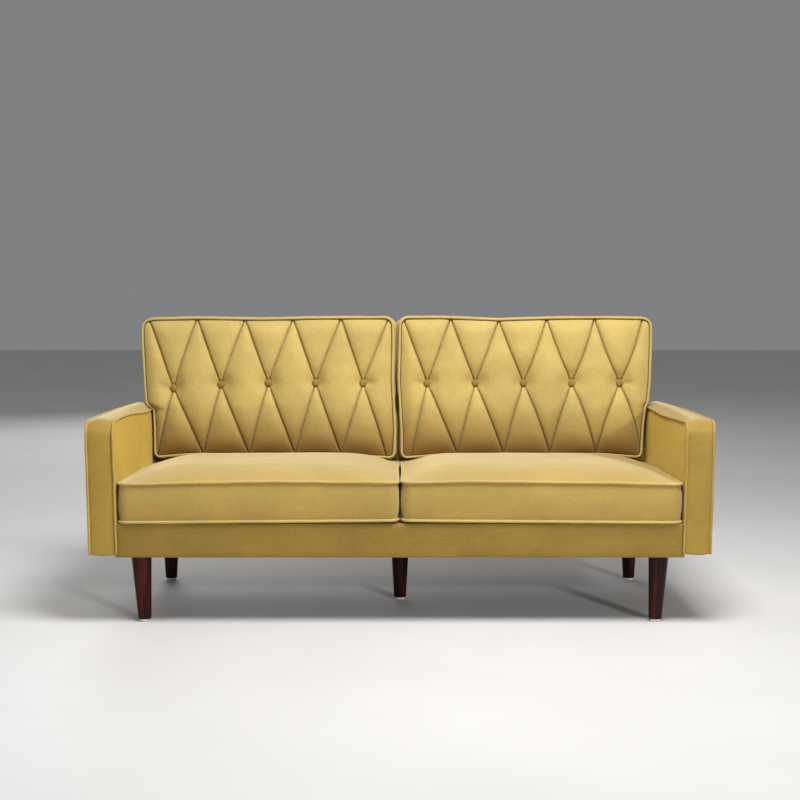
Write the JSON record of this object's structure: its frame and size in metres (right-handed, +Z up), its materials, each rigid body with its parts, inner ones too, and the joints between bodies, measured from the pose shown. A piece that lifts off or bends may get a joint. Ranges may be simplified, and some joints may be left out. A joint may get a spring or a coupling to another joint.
{
  "type": "sofa",
  "caption": "Upholstered sofa with slim boxed arms, a raked back with button-tufted cushions, piped box seat cushions and round tapered wooden legs.",
  "frame": {"origin": "on the floor, under the middle of the box around the whole sofa", "axes": "+X to the right as seen from in front, +Y to the back, +Z up"},
  "size_m": [1.77, 0.812, 0.8559],
  "materials": {
    "velvet": "short-pile velvet with a soft sheen",
    "stained_wood": "dark red-brown stain, satin lacquer",
    "white_plastic": "smooth",
    "frame_wood": "sawn softwood",
    "hardboard": "smooth hardboard",
    "foam": "open-cell foam",
    "lining": "black non-woven cloth",
    "webbing": "woven elastic webbing",
    "twine": "waxed twine",
    "zip_tape": "woven tape with nylon coil",
    "zinc_steel": "zinc plated"
  },
  "bodies": {
    "frame": {"arm_bottom_rail_left": "frame_wood", "arm_bottom_rail_right": "frame_wood", "arm_cover_left": "frame_wood", "arm_cover_right": "frame_wood", "arm_front_post_left": "frame_wood", "arm_front_post_right": "frame_wood", "arm_padding_left": "foam", "arm_padding_right": "foam", "arm_piping_left": "velvet", "arm_piping_right": "velvet", "arm_rear_post_left": "frame_wood", "arm_rear_post_right": "frame_wood", "arm_top_board_left": "frame_wood", "arm_top_board_right": "frame_wood", "back_board": "hardboard", "back_bottom_rail": "frame_wood", "back_cover": "velvet", "back_padding": "foam", "back_stiles": "frame_wood", "back_top_rail": "frame_wood", "back_webbing": "webbing", "base_cover": "velvet", "centre_rail": "frame_wood", "deck_pad": "foam", "dust_cover": "lining", "frame_bolts": "zinc_steel", "front_rail": "frame_wood", "leg_blocks": "frame_wood", "leg_centre": "stained_wood", "leg_front_left": "stained_wood", "leg_front_right": "stained_wood", "leg_glides": "white_plastic", "leg_hanger_bolts": "zinc_steel", "leg_rear_left": "stained_wood", "leg_rear_right": "stained_wood", "leg_t_nuts": "zinc_steel", "rail_padding": "foam", "rear_rail": "frame_wood", "seat_springs": "zinc_steel", "side_rail_left": "frame_wood", "side_rail_right": "frame_wood", "spring_clips": "zinc_steel"},
    "seat_cushion_left": {"seat_cushion_left_cover": "velvet", "seat_cushion_left_foam": "foam", "seat_cushion_left_piping": "velvet", "seat_cushion_left_zip": "zip_tape"},
    "seat_cushion_right": {"seat_cushion_right_cover": "velvet", "seat_cushion_right_foam": "foam", "seat_cushion_right_piping": "velvet", "seat_cushion_right_zip": "zip_tape"},
    "back_cushion_left": {"back_cushion_left_buttons": "velvet", "back_cushion_left_cover": "velvet", "back_cushion_left_foam": "foam", "back_cushion_left_piping": "velvet", "back_cushion_left_ties": "twine"},
    "back_cushion_right": {"back_cushion_right_buttons": "velvet", "back_cushion_right_cover": "velvet", "back_cushion_right_foam": "foam", "back_cushion_right_piping": "velvet", "back_cushion_right_ties": "twine"}
  },
  "joints": [
    {"name": "seat_cushion_left_pull", "type": "slide", "parent": "frame", "child": "seat_cushion_left", "axis": [0, -1, 0], "range_m": [0, 0.3]},
    {"name": "seat_cushion_right_pull", "type": "slide", "parent": "frame", "child": "seat_cushion_right", "axis": [0, -1, 0], "range_m": [0, 0.3]},
    {"name": "back_cushion_left_lift", "type": "slide", "parent": "frame", "child": "back_cushion_left", "axis": [0, 0.1736, 0.9848], "range_m": [0, 0.3]},
    {"name": "back_cushion_right_lift", "type": "slide", "parent": "frame", "child": "back_cushion_right", "axis": [0, 0.1736, 0.9848], "range_m": [0, 0.3]}
  ]
}
